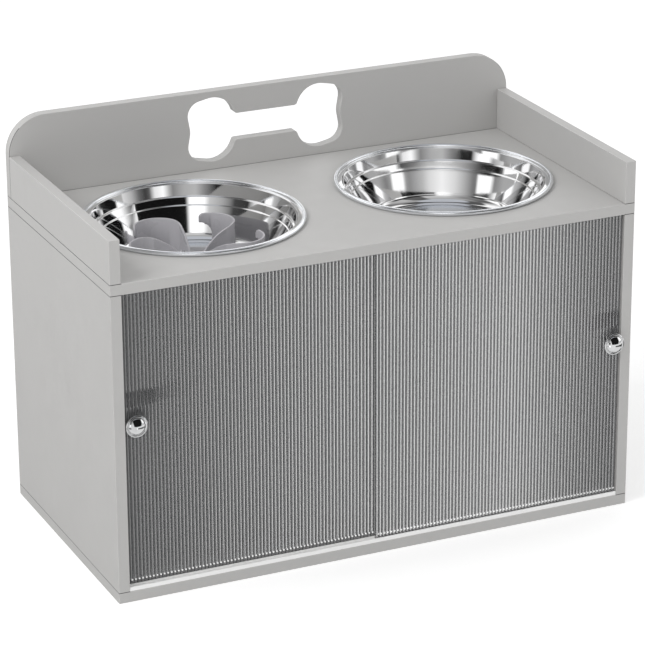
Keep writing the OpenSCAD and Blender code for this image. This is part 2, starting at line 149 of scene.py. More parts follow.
world = bpy.data.worlds.new("white_room")
scene.world = world
room = Nodes(world)
direction = room.add("ShaderNodeTexCoord").outputs["Generated"]
x, y, height = room.apart(direction)
print("world:", world.name)

# %% [markdown]
# A ring is a list of pairs, a compass angle in degrees and a grey level. Angle 0 is
# behind the object, 90 to its right, 180 in front of it and -90 to its left. A colour
# ramp once round the compass turns the list into light, from one level to the next.

# %% Rings of light
RING_LOW = [(-180, 2.7), (-126, 2.5), (-121, 0.06), (172, 0.06), (177, 2.7)]
RING_FLAT = [
    (-180, 0.25), (-168, 0.44), (-155, 0.50), (-146, 0.28), (-132, 0.02), (-121, 0.02),
    (-115, 0.9), (-110, 1.3), (-100, 1.2), (-94, 0.33), (-74, 1.0), (-58, 0.8),
    (102, 0.25), (110, 0.33), (119, 0.75), (131, 0.46), (140, 0.15), (148, 0.05),
    (153, 0.10), (159, 0.85), (169, 1.1), (176, 0.45),
]
RING_HIGH = [
    (-180, 0.006), (-167, 0.010), (-163, 1.0), (-159, 1.5), (-146, 1.3), (-138, 0.60),
    (-122, 0.40), (-114, 0.25), (-107, 0.06), (-90, 0.04), (-80, 0.9), (-74, 1.2),
    (90, 1.2), (110, 1.1), (120, 0.4), (128, 0.03), (134, 0.006),
]
RING_TOP = [
    (-180, 0.55), (-150, 0.65), (-120, 0.28), (-70, 0.10), (-35, 1.1), (70, 1.1),
    (88, 0.1), (115, 0.45), (135, 0.55), (141, 0.12), (169, 0.12), (175, 0.55),
]
RING_DIM = [
    (-180, 0.45), (-100, 0.40), (-60, 0.10), (0, 0.08), (75, 0.05), (100, 0.3),
    (130, 0.45), (141, 0.10), (167, 0.10), (174, 0.45),
]


def ramp(nodes, value, stops):
    """A colour ramp over pairs of a place and a grey or a colour."""
    node = nodes.add("ShaderNodeValToRGB")
    elements = node.color_ramp.elements
    while len(elements) < len(stops):
        elements.new(1.0)
    for element, (place, level) in zip(elements, stops):
        element.position = place
        element.color = rgba(level)
    nodes.join(value, node.inputs["Fac"])
    return node.outputs["Color"]


def ring(nodes, x, y, levels):
    """The level of the ring in the direction of x and y; the ring's ends meet."""
    turns = nodes.maths("DIVIDE", nodes.maths("ARCTAN2", x, y), 2.0 * math.pi)
    stops = [((angle + 180.0) / 360.0, level) for angle, level in levels]
    stops.append((1.0, levels[0][1]))
    return ramp(nodes, nodes.maths("ADD", turns, 0.5), stops)


rings = [ring(room, x, y, r) for r in (RING_LOW, RING_FLAT, RING_HIGH, RING_TOP, RING_DIM)]
low_ring, flat_ring, high_ring, top_ring, dim_ring = rings
print("rings of light:", len(rings))

# %% [markdown]
# The rings are laid over each other from below. Each layer starts at a height, which
# is the sine of its angle over the horizon, and comes in softly between two heights.
# The high panels hang lower on the far side, so their height has a lean in it.

# %% Layers
BELOW = 0.75
UNDER_HORIZON = 0.8
CAP = (0.50, 0.52, 0.56)
PANEL_LEAN = (0.077, 0.174)  # to the right and to the back


def between(nodes, value, low, high, start=0.3, end=0.7, kind="LINEAR"):
    """The value's stretch from start to end, spread from low to high."""
    node = nodes.add("ShaderNodeMapRange", interpolation_type=kind)
    node.inputs["From Min"].default_value = start
    node.inputs["From Max"].default_value = end
    node.inputs["To Min"].default_value = low
    node.inputs["To Max"].default_value = high
    nodes.join(value, node.inputs["Value"])
    return node.outputs[0]


def even(nodes, level):
    """One grey or colour as an output."""
    node = nodes.add("ShaderNodeRGB")
    node.outputs[0].default_value = rgba(level)
    return node.outputs[0]


def blend(nodes, share, first, second):
    """The first colour where the share is 0, the second where it is 1."""
    node = nodes.add("ShaderNodeMix", data_type="RGBA")
    nodes.join(share, node.inputs["Factor"])
    nodes.join(first, node.inputs["A"])
    nodes.join(second, node.inputs["B"])
    return node.outputs["Result"]


leaning = room.add("ShaderNodeVectorMath", operation="DOT_PRODUCT")
room.join(direction, leaning.inputs[0])
leaning.inputs[1].default_value = (*PANEL_LEAN, 1.0)
layers = (
    (height, -0.53, -0.48, low_ring),
    (height, -0.325, -0.29, even(room, UNDER_HORIZON)),
    (height, -0.08, -0.04, flat_ring),
    (leaning.outputs["Value"], 0.105, 0.135, high_ring),
    (height, 0.56, 0.68, top_ring),
    (height, 0.84, 0.88, dim_ring),
    (height, 0.94, 0.965, even(room, CAP)),
)
mirrored = even(room, BELOW)
for value, start, end, layer in layers:
    share = between(room, value, 0.0, 1.0, start, end, "SMOOTHSTEP")
    mirrored = blend(room, share, mirrored, layer)
print("layers over the lowest grey:", len(layers))

# %% [markdown]
# A light path node tells the rays apart. The camera, and what it sees through clear
# sheet, get full white, so the picture's ground is white. Light on matt surfaces comes
# from a dimmer white, and glossy rays get the layers.

# %% What each ray sees
WORLD_LIGHT = 0.69


def choose(nodes, share, first, second):
    """The first shader where the share is 0, the second where it is 1."""
    node = nodes.add("ShaderNodeMixShader")
    nodes.join(share, node.inputs["Fac"])
    nodes.join(first, node.inputs[1])
    nodes.join(second, node.inputs[2])
    return node.outputs[0]


def background(strength, colour=None):
    """A world shader, white where no colour is given."""
    node = room.add("ShaderNodeBackground")
    node.inputs["Strength"].default_value = strength
    node.inputs["Color"].default_value = rgba(1.0)
    if colour is not None:
        room.join(colour, node.inputs["Color"])
    return node.outputs[0]


path = room.add("ShaderNodeLightPath").outputs
seen = room.maths("MAXIMUM", path["Is Camera Ray"], path["Is Transmission Ray"])
shown = choose(room, seen, background(WORLD_LIGHT), background(1.0))
shown = choose(room, path["Is Glossy Ray"], shown, background(1.0, mirrored))
room.join(shown, room.add("ShaderNodeOutputWorld").inputs["Surface"])
print("world light on matt surfaces:", WORLD_LIGHT)

# %% [markdown]
# The floor is a matt white sheet. For the camera it also shines a little, so that it
# melts into the white world and only the soft shadow of the object shows.

# %% Floor
FLOOR_HALF = 6.0
FLOOR_WHITE = 0.9
CAMERA_LIFT = 0.32


def object_of(name, bm):
    """Makes an object of a bmesh and puts it into the scene."""
    mesh = bpy.data.meshes.new(name)
    bm.to_mesh(mesh)
    bm.free()
    thing = bpy.data.objects.new(name, mesh)
    scene.collection.objects.link(thing)
    return thing


bm = bmesh.new()
bmesh.ops.create_grid(bm, x_segments=1, y_segments=1, size=FLOOR_HALF)
floor = object_of("floor", bm)
material = bpy.data.materials.new("floor_white")
nodes = Nodes(material)
matt = nodes.add("ShaderNodeBsdfDiffuse")
matt.inputs["Color"].default_value = rgba(FLOOR_WHITE)
lift = nodes.add("ShaderNodeEmission")
lift.inputs["Color"].default_value = rgba(1.0)
by_camera = nodes.add("ShaderNodeLightPath").outputs["Is Camera Ray"]
nodes.join(nodes.maths("MULTIPLY", by_camera, CAMERA_LIFT), lift.inputs["Strength"])
both = nodes.add("ShaderNodeAddShader")
nodes.join(matt.outputs[0], both.inputs[0])
nodes.join(lift.outputs[0], both.inputs[1])
nodes.join(both.outputs[0], nodes.add("ShaderNodeOutputMaterial").inputs["Surface"])
floor.data.materials.append(material)
floor.visible_glossy = False
print("floor:", 2.0 * FLOOR_HALF, "m wide")

# %% [markdown]
# The two lamps are large, so their shadows are soft. The camera and the gloss don't
# see them, because a bright square in a bowl would look wrong.

# %% Lamps
LAMP_SIZE = 1.8
LAMP_TARGET = Vector((0.0, 0.0, 0.25))


def soft_lamp(name, place, watts):
    """A large square lamp that looks at the middle of the object."""
    data = bpy.data.lights.new(name, "AREA")
    data.shape = "SQUARE"
    data.size = LAMP_SIZE
    data.energy = watts
    lamp = bpy.data.objects.new(name, data)
    scene.collection.objects.link(lamp)
    lamp.location = place
    lamp.rotation_euler = (LAMP_TARGET - Vector(place)).to_track_quat("-Z", "Y").to_euler()
    lamp.visible_camera = False
    lamp.visible_glossy = False
    print(name, watts, "W")


soft_lamp("key_lamp", (-2.7, -0.5, 2.9), 60.0)
soft_lamp("front_lamp", (0.8, -3.2, 1.2), 13.0)

# %% [markdown]
# ## Cards for the reflections
# A photographer of steel bowls stands narrow strips of card round them, just outside
# the picture. Other small cards keep the doors and the knobs free of harsh spots. Only
# glossy rays see such a card, and only its face shines, so it hides nothing.

# %% Card helpers
def card_finish(name, levels):
    """Light on a card's face, even or in a ring; the card's back is clear."""
    material = bpy.data.materials.new(name)
    # Reflections alone find the card, so it isn't searched for like a lamp
    material.cycles.emission_sampling = "NONE"
    nodes = Nodes(material)
    glow = nodes.add("ShaderNodeEmission")
    if isinstance(levels, list):
        x, y, _ = nodes.apart(nodes.add("ShaderNodeTexCoord").outputs["Object"])
        nodes.join(ring(nodes, x, y, levels), glow.inputs["Color"])
    else:
        glow.inputs["Color"].default_value = rgba(levels)
    clear = nodes.add("ShaderNodeBsdfTransparent").outputs[0]
    at_back = nodes.add("ShaderNodeNewGeometry").outputs["Backfacing"]
    one_sided = choose(nodes, at_back, glow.outputs[0], clear)
    nodes.join(one_sided, nodes.add("ShaderNodeOutputMaterial").inputs["Surface"])
    return material


def reflection_card(name, bm, levels, place):
    """A card that only glossy rays see."""
    card = object_of(name, bm)
    card.location = place
    card.data.materials.append(card_finish(name + "_grey", levels))
    card.visible_camera = False
    card.visible_diffuse = False
    card.visible_transmission = False
    card.visible_volume_scatter = False
    card.visible_shadow = False
    print("card:", name)


# %% [markdown]
# Two strips stand round the right bowl, one on top of the other. They lean, because
# the bowl is seen from above. Their light middle and dark ends give the wall its soft
# roundness. Their angles are compass angles too. Where a strip begins and ends, they
# count on past 180, so 342 is the same as -18.

# %% Strips round the right bowl
STRIP_R = 130.0 * MM
STRIP_FROM = 66
STRIP_TO = 342
STRIP_MIDDLE = math.radians(204)
STRIP_STEPS = 92
# Each edge's mean height over the deck and its rise towards the middle, in millimetres
LOWER_EDGE = (23.8, 30.7)
MIDDLE_EDGE = (46.0, 38.0)
UPPER_EDGE = (56.4, 34.6)
WALL_LEVELS = [
    (-180, 0.75), (-156, 0.97), (-132, 0.75), (-98, 0.2), (-93, 0.2), (-88, 1.2),
    (-66, 1.2), (-58, 0.25), (-40, 0.42), (84, 0.40), (99, 0.22), (108, 0.35),
    (113, 1.2), (131, 1.2), (137, 0.35), (144, 0.28), (168, 0.52),
]
BAND_LEVELS = [
    (-180, 0.52), (-156, 0.62), (-120, 0.38), (-84, 0.03), (-56, 0.004), (-48, 0.1),
    (-42, 1.2), (-12, 1.2), (60, 0.004), (72, 0.03), (82, 1.2), (121, 1.2),
    (127, 0.35), (132, 0.08), (156, 0.22),
]


def leaning_strip(low, high):
    """Part of a ring between two edges, lit on its inner face."""
    bm = bmesh.new()
    verts = [bm.verts.new((0.0, STRIP_R, 0.0)), bm.verts.new((0.0, STRIP_R, 1.0))]
    bm.edges.new(verts)
    start = Matrix.Rotation(-math.radians(STRIP_FROM), 3, "Z")
    bmesh.ops.rotate(bm, verts=bm.verts, cent=(0.0, 0.0, 0.0), matrix=start)
    bmesh.ops.spin(
        bm,
        geom=bm.verts[:] + bm.edges[:],
        cent=(0.0, 0.0, 0.0),
        axis=(0.0, 0.0, -1.0),
        angle=math.radians(STRIP_TO - STRIP_FROM),
        steps=STRIP_STEPS,
    )
    for vert in bm.verts:
        mean, rise = high if vert.co.z > 0.5 else low
        from_middle = math.atan2(vert.co.x, vert.co.y) - STRIP_MIDDLE
        vert.co.z = (mean + rise * math.cos(from_middle)) * MM
    bm.normal_update()
    bm.faces.ensure_lookup_table()
    face = bm.faces[0]
    if face.normal.dot(face.calc_center_median()) > 0.0:
        bmesh.ops.reverse_faces(bm, faces=bm.faces)
    return bm


low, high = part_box("right_bowl")
middle = (low + high) / 2.0
strip_place = (middle.x, middle.y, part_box("top_panel")[1].z)
wall_strip = leaning_strip(LOWER_EDGE, MIDDLE_EDGE)
reflection_card("wall_strip", wall_strip, WALL_LEVELS, strip_place)
band_strip = leaning_strip(MIDDLE_EDGE, UPPER_EDGE)
reflection_card("band_strip", band_strip, BAND_LEVELS, strip_place)

# %% [markdown]
# Flat cards before the outer ends of the doors keep the stripes there soft. A small
# dark one over each knob gives its dome a dark spot.

# %% Flat cards
DARK_SIZE = (0.042, 0.036)
DARK_LEAN = 42.0
DARK_LEVEL = 0.01
DARK_SHIFT = (0.004, -0.012, 0.014)  # from the middle of the knob's tip


def flat_card(name, size, lean, level, place):
    """A flat card that faces the doors; its top leans towards them by so many degrees."""
    bm = bmesh.new()
    bmesh.ops.create_grid(bm, x_segments=1, y_segments=1, size=0.5)
    bmesh.ops.scale(bm, verts=bm.verts, vec=(*size, 1.0))
    turn = Matrix.Rotation(math.radians(-90.0 - lean), 3, "X")
    bmesh.ops.rotate(bm, verts=bm.verts, cent=(0.0, 0.0, 0.0), matrix=turn)
    reflection_card(name, bm, level, place)


flat_card("left_door_card", size=(0.50, 0.70), lean=0.0, level=0.7, place=(-0.52, -0.42, 0.05))
flat_card("right_door_card", size=(0.13, 0.40), lean=0.0, level=0.8, place=(0.235, -0.27, 0.10))
for side in ("left", "right"):
    low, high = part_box(side + "_knob")
    middle = (low + high) / 2.0
    tip = (middle.x, low.y, middle.z)
    place = [a + b for a, b in zip(tip, DARK_SHIFT)]
    flat_card(side + "_knob_card", DARK_SIZE, DARK_LEAN, DARK_LEVEL, place)

# %% [markdown]
# ## Grey laminated board
# The panels are chipboard with a satin grey foil, one even colour without a grain.
# Up close such a foil has a fine orange peel and its sheen varies a little. Both come
# from noise on object coordinates, so the pattern stays with the board when it moves.
# Every finish below is made in the same way, by one more set of helpers.

# %% Finish helpers
class Finish(Nodes):
    """A material with one Principled shader; even values sit on its own sockets."""

    def __init__(self, name, colour, roughness, **extra):
        self.material = bpy.data.materials.new(name)
        super().__init__(self.material)
        self.shader = self.add("ShaderNodeBsdfPrincipled")
        self.sockets = self.shader.inputs
        self.sockets["Base Color"].default_value = rgba(colour)
        self.sockets["Roughness"].default_value = roughness
        for socket, value in extra.items():
            self.sockets[socket.replace("_", " ")].default_value = value
        self.surface = self.add("ShaderNodeOutputMaterial").inputs["Surface"]
        self.join(self.shader.outputs[0], self.surface)
        self.place = self.add("ShaderNodeTexCoord").outputs["Object"]
        print("finish:", name)

    def noise(self, waves, detail=3.0, stretch=(1.0, 1.0, 1.0)):
        """Noise of so many waves a metre, with finer waves over them."""
        mapping = self.add("ShaderNodeMapping")
        mapping.inputs["Scale"].default_value = stretch
        self.join(self.place, mapping.inputs["Vector"])
        texture = self.add("ShaderNodeTexNoise")
        texture.inputs["Scale"].default_value = waves
        texture.inputs["Detail"].default_value = detail
        self.join(mapping.outputs[0], texture.inputs["Vector"])
        return texture.outputs["Fac"]

    def tint(self, value, first, second, start=0.3, end=0.7):
        """A base colour from first to second over the value's stretch."""
        colours = ramp(self, value, [(start, first), (end, second)])
        self.join(colours, self.sockets["Base Color"])

    def roughen(self, value, low, high):
        """A roughness from low to high over the value's middle stretch."""
        self.join(between(self, value, low, high), self.sockets["Roughness"])

    def relief(self, height, depth, strength):
        """Bump of a depth in metres; the strength thins it."""
        bump = self.add("ShaderNodeBump")
        bump.inputs["Distance"].default_value = depth
        bump.inputs["Strength"].default_value = strength
        self.join(height, bump.inputs["Height"])
        self.join(bump.outputs[0], self.sockets["Normal"])


# %% [markdown]
# The rounded edges of the boards get a second finish, smoother than the foil and a lighter grey.
# The lighter grey is a painted highlight, where the round edges catch the light.

# %% Board finishes
BOARD_DULL = (0.490, 0.485, 0.477)
BOARD_GREY = (0.500, 0.495, 0.486)
# painted highlight: the lighter grey of the rounded board edges
EDGE_HIGHLIGHT_GREY = (0.560, 0.556, 0.548)


def board_finish(name, dull, colour, roughness):
    """Foil whose colour and sheen vary a little round the given ones."""
    foil = Finish(name, colour, roughness)
    foil.tint(foil.noise(7.0, 4.0), dull, colour)
    foil.roughen(foil.noise(45.0, 5.0), roughness - 0.05, roughness + 0.05)
    foil.relief(foil.noise(700.0, 2.0), 0.04 * MM, 0.5)
    return foil


board_foil = board_finish("board_foil", BOARD_DULL, BOARD_GREY, 0.48)
board_edge = board_finish("board_edge", BOARD_GREY, EDGE_HIGHLIGHT_GREY, 0.40)

# %% [markdown]
# Where two boards meet, their rounded edges make a groove that lies in shade, and that shade is
# painted.
# The edge finish therefore turns dark close to the planes in which boards touch, and
# only there: under and on the deck and on the base at both sides, and along the foot
# and the ends of the back board. Object coordinates say how far a spot is from them.

# %% Painted shade in the seams
SEAM_HALF = 0.6 * MM
# painted shade: the dark grey of the edge finish in the seams between boards
PAINTED_SEAM_SHADE = 0.08
NEARBY = 0.5 * MM


def near_plane(nodes, value, plane, half=SEAM_HALF):
    """1 on the plane, 0 farther from it than half the width."""
    distance = nodes.maths("ABSOLUTE", nodes.maths("SUBTRACT", value, plane))
    return between(nodes, distance, 1.0, 0.0, half / 3.0, half)


def add_painted_seam_shade(finish):
    """Lays painted shade along the seams over the finish's colour."""
    base_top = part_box("bottom_panel")[1].z
    deck_low, deck_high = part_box("top_panel")
    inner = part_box("right_side_panel")[0].x
    board_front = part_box("backboard")[0].y
    maths = finish.maths
    x, y, z = finish.apart(finish.place)
    at_sides = maths("GREATER_THAN", maths("ABSOLUTE", x), inner - NEARBY)
    behind = maths("GREATER_THAN", y, board_front - NEARBY)
    above = maths("GREATER_THAN", z, deck_high.z - NEARBY)
    on_deck = near_plane(finish, z, deck_high.z)
    level = maths("MAXIMUM", near_plane(finish, z, base_top), on_deck)
    level = maths("MAXIMUM", level, near_plane(finish, z, deck_low.z))
    upright = maths("MULTIPLY", near_plane(finish, y, board_front), above)
    side_seams = maths("MULTIPLY", at_sides, maths("MAXIMUM", level, upright))
    foot_seam = maths("MULTIPLY", behind, on_deck)
    shade = maths("MAXIMUM", side_seams, foot_seam)
    base = finish.sockets["Base Color"]
    plain = base.links[0].from_socket
    # painted shade laid along the seams
    finish.join(blend(finish, shade, plain, even(finish, PAINTED_SEAM_SHADE)), base)


add_painted_seam_shade(board_edge)
print("seams:", round(2.0 * SEAM_HALF / MM, 1), "mm wide")

# %% [markdown]
# The solids of the boards stay as they are. A modifier rounds their sharp edges by
# half a millimetre and gives the round its own finish.

# %% Boards
BOARDS = (
    "bottom_panel",
    "left_side_panel",
    "right_side_panel",
    "top_panel",
    "backboard",
    "left_rail",
    "right_rail",
)
BOARD_ROUND = 0.5 * MM
WELD_GAP = 0.01 * MM
FLAT_DEGREES = 0.5
SHARP_DEGREES = 35.0


def dress(node, *finishes):
    """Puts finishes into the slots of a solid's object."""
    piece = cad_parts[node]
    while len(piece.data.materials) < len(finishes):
        piece.data.materials.append(None)
    for slot, finish in zip(piece.material_slots, finishes):
        slot.link = "OBJECT"
        slot.material = finish.material
    return piece


def soften(piece, width, finish_slot=-1, segments=2):
    """Rounds the sharp edges of a solid, whose loose triangles are welded first."""
    weld = piece.modifiers.new("weld", "WELD")
    weld.merge_threshold = WELD_GAP
    flat = piece.modifiers.new("flat_faces", "DECIMATE")
    flat.decimate_type = "DISSOLVE"
    flat.angle_limit = math.radians(FLAT_DEGREES)
    flat.delimit = {"SHARP"}
    edge = piece.modifiers.new("edge", "BEVEL")
    edge.width = width
    edge.segments = segments
    edge.limit_method = "ANGLE"
    edge.angle_limit = math.radians(SHARP_DEGREES)
    edge.material = finish_slot
    edge.harden_normals = True
    edge.use_clamp_overlap = False


for name in BOARDS:
    soften(dress(name, board_foil, board_edge), BOARD_ROUND, finish_slot=1)
print("boards:", ", ".join(BOARDS))

# %% [markdown]
# ## Back panel
# A thin hardboard sheet slides into grooves at the back. Its front is painted grey
# and its back is bare pressed fibre, so the paint is thin enough to show the fibres.

# %% Back panel
hardboard = Finish("painted_hardboard", (0.46, 0.455, 0.445), 0.62)
fibres = hardboard.noise(260.0, 6.0, (1.0, 1.0, 0.6))
hardboard.tint(fibres, (0.43, 0.424, 0.412), (0.475, 0.47, 0.46))
hardboard.roughen(fibres, 0.7, 0.55)
hardboard.relief(fibres, 0.1 * MM, 0.6)
dress("back_panel", hardboard)

# %% [markdown]
# ## Steel bowls
# A feeding bowl is pressed from thin stainless sheet: a flat floor, a rolled corner,
# a steep wall with two narrow steps, a flange and a rolled bead. All of it is round,
# so half a section is drawn once and spun. The section is measured from the axis and
# from the deck. The wall is a straight line from the lower step that just touches the
# round of the corner, so its slope is worked out and not typed in.

# %% Bowl line
SHEET = 0.8 * MM
RIM_R = 120.0 * MM
BEAD_R = 2.4 * MM
BEAD_Z = 2.6 * MM
FLANGE_Z = 2.3 * MM
MOUTH_R = 111.0 * MM
COLLAR = (107.6 * MM, -10.5 * MM)
LEDGE = (105.4 * MM, -11.1 * MM)
BAND = (102.4 * MM, -19.0 * MM)
STEP = (101.2 * MM, -19.6 * MM)
CORNER_R = 14.0 * MM
FLOOR_R = 78.0 * MM
FLOOR_Z = -54.5 * MM
CREASE = 0.315 * MM  # how far the bevel reaches from a crease
BEAD_STEPS = 28
CORNER_STEPS = 14


def arc_points(centre, radius, start, end, steps):
    """Points on an arc, angles in degrees."""
    points = []
    for i in range(steps + 1):
        angle = math.radians(start + (end - start) * i / steps)
        points.append((centre[0] + radius * math.cos(angle), centre[1] + radius * math.sin(angle)))
    return points


def sheet_line(gap):
    """The bowl's line at a distance outside its inner face, from flange to axis."""
    corner = (FLOOR_R, FLOOR_Z + CORNER_R)
    radius = CORNER_R + gap
    step = (STEP[0] + gap, STEP[1] - gap)
    run = (step[0] - corner[0], step[1] - corner[1])
    wall = math.atan2(run[1], run[0]) - math.acos(radius / math.hypot(*run))
    creases = [(MOUTH_R + gap, FLANGE_Z - gap)]
    creases += [(p[0] + gap, p[1] - gap) for p in (COLLAR, LEDGE, BAND)]
    creases.append(step)
    floor = arc_points(corner, radius, math.degrees(wall), -90.0, CORNER_STEPS)
    return creases, floor + [(0.0, FLOOR_Z - gap)]


out, up = sheet_line(0.0)[1][0]
print("wall ends", round(out / MM, 1), "mm out and", round(-up / MM, 1), "mm under the deck")

# %% [markdown]
# The line of the inner face and the line of the outer face are joined by the bead. The
# creases are rounded by a bevel before the spin, because it is far easier on a line
# than on a finished bowl. Long faces next to short ones shade unevenly once they are
# smoothed, so each long stretch gets a point close to both of its ends.

# %% Bowl section
LONG_STRETCH = 1.2 * MM
NEAR_END = 0.15 * MM


def section_line(bm, points):
    """A chain of edges through points given as radius and height."""
    verts = [bm.verts.new((r, 0.0, z)) for r, z in points]
    for first, second in zip(verts, verts[1:]):
        bm.edges.new((first, second))
    return verts


def bowl_section(bm):
    """The whole section, with its creases rounded."""
    bead = (RIM_R - BEAD_R, BEAD_Z)
    top = math.degrees(math.asin((FLANGE_Z - BEAD_Z) / BEAD_R))
    under = math.degrees(math.asin((FLANGE_Z - SHEET - BEAD_Z) / BEAD_R))
    inner_creases, inner_floor = sheet_line(0.0)
    outer_creases, outer_floor = sheet_line(SHEET)
    bead_arc = arc_points(bead, BEAD_R, 180.0 - top, -180.0 - under, BEAD_STEPS)
    points = inner_floor[::-1] + inner_creases[::-1] + bead_arc + outer_creases + outer_floor
    verts = section_line(bm, points)
    first = len(inner_floor)
    sharp = verts[first : first + len(inner_creases)]
    second = first + len(inner_creases) + len(bead_arc)
    sharp += verts[second : second + len(outer_creases)]
    bmesh.ops.bevel(
        bm,
        geom=sharp,
        offset=CREASE,
        offset_type="OFFSET",
        segments=3,
        profile=0.5,
        affect="VERTICES",
        material=-1,
    )


def hold_ends(bm):
    """Puts a point near both ends of each long stretch of the section."""
    for edge in [e for e in bm.edges if e.calc_length() > LONG_STRETCH]:
        first = edge.verts[0]
        _, point = bmesh.utils.edge_split(edge, first, NEAR_END / edge.calc_length())
        longer = max(point.link_edges, key=lambda e: e.calc_length())
        share = NEAR_END / longer.calc_length()
        bmesh.utils.edge_split(longer, longer.other_vert(point), share)


bm = bmesh.new()
bowl_section(bm)
hold_ends(bm)
print("bowl section:", len(bm.verts), "points")
bm.free()

# %% [markdown]
# The steel is polished to a mirror. A perfect mirror looks like a drawing, so the polish varies a
# little: faint patches from the spinning buff, and smooth waves where the sheet was pressed. Both
# are bump and roughness, and the colour is even.
# The rolled bead and the flat floor are brushed after the polishing, so they have a satin sheen
# that looks the same all round. They get a finish of their own, whose colour is lighter and bluer
# than the polished steel's; that lift is a painted highlight.

# %% Bowl steel
polished_steel = Finish("polished_steel", (0.90, 0.90, 0.905), 0.05, Metallic=1.0)
polished_steel.roughen(polished_steel.noise(60.0), 0.03, 0.075)
polished_steel.relief(polished_steel.noise(14.0, 1.0), 0.3 * MM, 0.35)
# painted highlight: the satin steel's colour is lighter and bluer than the polished steel's
satin_steel = Finish("satin_steel", (0.95, 0.97, 1.0), 0.22, Metallic=1.0)
satin_steel.roughen(satin_steel.noise(500.0), 0.18, 0.26)

# %% [markdown]
# Now the section is spun once round, moved to where the solid bowl stands and tied to
# the body that lifts it. Its bead rests on the deck, which gives the height.

# %% Bowls
BOWL_STEPS = 180


def lathe(bm, steps):
    """Spins everything in the bmesh once round the upright axis and closes it."""
    bmesh.ops.spin(
        bm,
        geom=bm.verts[:] + bm.edges[:],
        cent=(0.0, 0.0, 0.0),
        axis=(0.0, 0.0, 1.0),
        angle=2.0 * math.pi,
        steps=steps,
        use_merge=True,
    )
    bmesh.ops.remove_doubles(bm, verts=bm.verts, dist=0.001 * MM)
    bmesh.ops.recalc_face_normals(bm, faces=bm.faces)


def new_piece(name, bm, body, finish, replaced):
    """Makes a smooth piece of a bmesh and ties it to its body, slot and solid."""
    for face in bm.faces:
        face.smooth = True
    piece = object_of(name, bm)
    piece.data.materials.append(finish.material)
    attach(piece, body)
    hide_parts(*replaced)
    print(name, "has", len(piece.data.polygons), "faces")
    return piece


def bowl(name, node, body):
    """A spun bowl in the place of its solid."""
    low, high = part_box(node)
    middle = (low + high) / 2.0
    bm = bmesh.new()
    bowl_section(bm)
    hold_ends(bm)
    lathe(bm, BOWL_STEPS)
    for face in bm.faces:
        spot = face.calc_center_median()
        on_bead = spot.xy.length > RIM_R - 2.0 * BEAD_R
        on_floor = spot.xy.length < FLOOR_R and spot.z > FLOOR_Z - SHEET / 2.0
        if on_bead or on_floor:
            face.material_index = 1
    deck = high.z - BEAD_Z - BEAD_R
    bmesh.ops.translate(bm, verts=bm.verts, vec=(middle.x, middle.y, deck))
    piece = new_piece(name, bm, body, polished_steel, (node,))
    piece.data.materials.append(satin_steel.material)


bowl("left_bowl_shell", "left_bowl", "left_bowl_body")
bowl("right_bowl_shell", "right_bowl", "right_bowl_body")

# %% [markdown]
# ## Slow feeding insert
# A soft grey moulding with five curled blades lies loose in the left bowl. The solid
# has its shape, so it stays, and its edges get the small round of a moulding.

# %% Insert
moulding = Finish("grey_moulding", (0.45, 0.443, 0.465), 0.26)
moulding.relief(moulding.noise(1400.0, 2.0), 0.03 * MM, 0.6)
sheen = moulding.noise(30.0)
moulding.roughen(sheen, 0.24, 0.34)
moulding.tint(sheen, (0.44, 0.433, 0.455), (0.46, 0.453, 0.475))
soften(dress("slow_feeder_insert", moulding), 0.6 * MM, segments=3)

# %% [markdown]
# ## Reeded doors
# Each door is a clear, slightly smoked acrylic sheet with upright reeds on its front.
# The reeds mirror the studio in fine streaks, so the shape has to be real, and the
# shader has no picture of stripes. It is a dark gloss that lets about a third of the
# light through with a little haze.

# %% Door acrylic
SMOKED = (0.135, 0.137, 0.140)
acrylic = Finish(
    "reeded_acrylic",
    SMOKED,
    0.08,
    Transmission_Weight=0.35,
    IOR=1.49,
    Coat_Weight=1.0,
    Coat_IOR=2.4,
    Coat_Roughness=0.05,
)
acrylic.roughen(acrylic.noise(60.0, 2.0), 0.06, 0.10)
daylight = acrylic.add("ShaderNodeBsdfTransparent")
daylight.inputs["Color"].default_value = rgba(0.85)
path = acrylic.add("ShaderNodeLightPath").outputs
lets_pass = acrylic.maths("MAXIMUM", path["Is Shadow Ray"], path["Is Diffuse Ray"])
sheet = choose(acrylic, lets_pass, acrylic.shader.outputs[0], daylight.outputs[0])
acrylic.join(sheet, acrylic.surface)
acrylic.material.cycles.emission_sampling = "NONE"

# %% [markdown]
# Close to the foot each reed works as a lens for the white track and gathers it into a small
# bright spot. These spots are painted light, a white base colour with a weak glow on each crest;
# they are too small to light anything, and they aren't lamps.
# Both doors are laid out from the middle, so the distance from the middle tells the
# crests of both.

# %% Painted spots of light at the doors' foot
REED_PITCH = 4.0 * MM
SPOT_RISE = 3.8 * MM
SPOT_HALF = 1.2 * MM
PAINTED_SPOT_GLOW = 0.4
PAINTED_SPOT_WHITE = (0.95, 0.95, 0.95)

x, _, z = acrylic.apart(acrylic.place)
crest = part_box("right_door")[0].x + REED_PITCH / 2.0
turns = acrylic.maths("SUBTRACT", acrylic.maths("ABSOLUTE", x), crest)
turns = acrylic.maths("MULTIPLY", turns, 2.0 * math.pi / REED_PITCH)
on_crest = between(acrylic, acrylic.maths("COSINE", turns), 0.0, 1.0, -0.1, 0.4)
spot_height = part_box("bottom_track")[1].z + SPOT_RISE
spots = acrylic.maths("MULTIPLY", on_crest, near_plane(acrylic, z, spot_height, SPOT_HALF))
